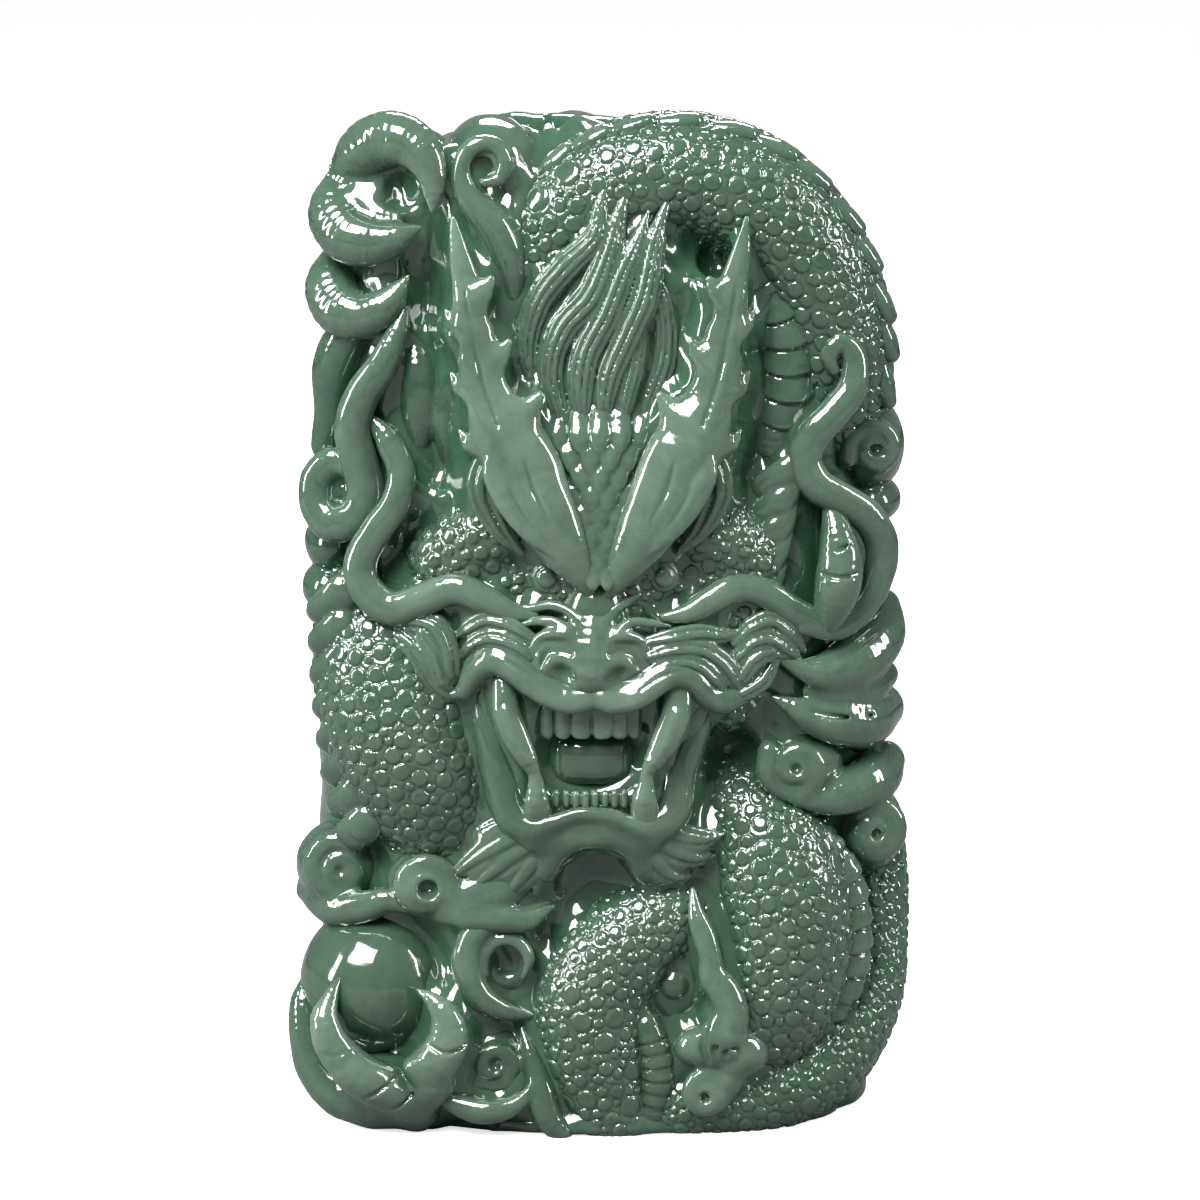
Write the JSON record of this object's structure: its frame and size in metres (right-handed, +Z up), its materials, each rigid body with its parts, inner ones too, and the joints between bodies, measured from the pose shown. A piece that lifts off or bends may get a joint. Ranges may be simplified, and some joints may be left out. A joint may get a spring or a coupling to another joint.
{
  "type": "carved jade dragon figurine",
  "caption": "Upright hand-sized jade carving of a coiled dragon with a pearl and clouds, on a flat base with a plain flat back.",
  "frame": {"origin": "middle of the flat base face that the carving stands on", "axes": "+Z up, -Y towards the carved front, +Y towards the flat back, +X to the viewer's right when facing the front"},
  "size_m": [0.0441, 0.0207, 0.073],
  "materials": {
    "jade_raised": "pale blue-green jade, hand polished to a wet gloss",
    "jade_middle": "blue-green jade, polished, with drilled ring scales",
    "jade_deep": "deep green jade, polished, in the shade of the relief"
  },
  "bodies": {
    "root": {"stone_core": "jade_deep", "stone_foot": "jade_middle", "rear_cloud": "jade_middle", "top_scroll": "jade_raised", "upper_claw": "jade_raised", "body_arch": "jade_middle", "arch_spines": "jade_raised", "arch_belly": "jade_raised", "left_coil": "jade_middle", "left_coil_spines": "jade_raised", "right_coil": "jade_middle", "right_coil_plates": "jade_raised", "outer_coil": "jade_deep", "low_coil": "jade_middle", "hip": "jade_middle", "mane": "jade_raised", "skull": "jade_middle", "left_horn": "jade_raised", "right_horn": "jade_raised", "left_ear": "jade_middle", "right_ear": "jade_middle", "forehead": "jade_raised", "left_cheek": "jade_middle", "right_cheek": "jade_middle", "left_eye": "jade_raised", "right_eye": "jade_raised", "muzzle": "jade_middle", "nose": "jade_raised", "upper_lip": "jade_raised", "left_moustache": "jade_raised", "right_moustache": "jade_raised", "upper_teeth": "jade_raised", "lower_teeth": "jade_raised", "tongue": "jade_middle", "left_fang": "jade_raised", "right_fang": "jade_raised", "lower_jaw": "jade_middle", "left_beard": "jade_raised", "right_beard": "jade_raised", "left_whisker": "jade_raised", "left_curl_ribbon": "jade_raised", "right_whisker": "jade_raised", "cheek_spikes": "jade_raised", "bud_talon": "jade_raised", "upper_right_cloud": "jade_raised", "right_cloud": "jade_raised", "right_scroll": "jade_raised", "left_edge_cloud": "jade_middle", "left_low_cloud": "jade_raised", "beard_curl": "jade_raised", "scroll_ring": "jade_raised", "small_curl": "jade_middle", "ruyi_cloud": "jade_raised", "pearl": "jade_middle", "pearl_claw": "jade_raised"}
  },
  "joints": []
}
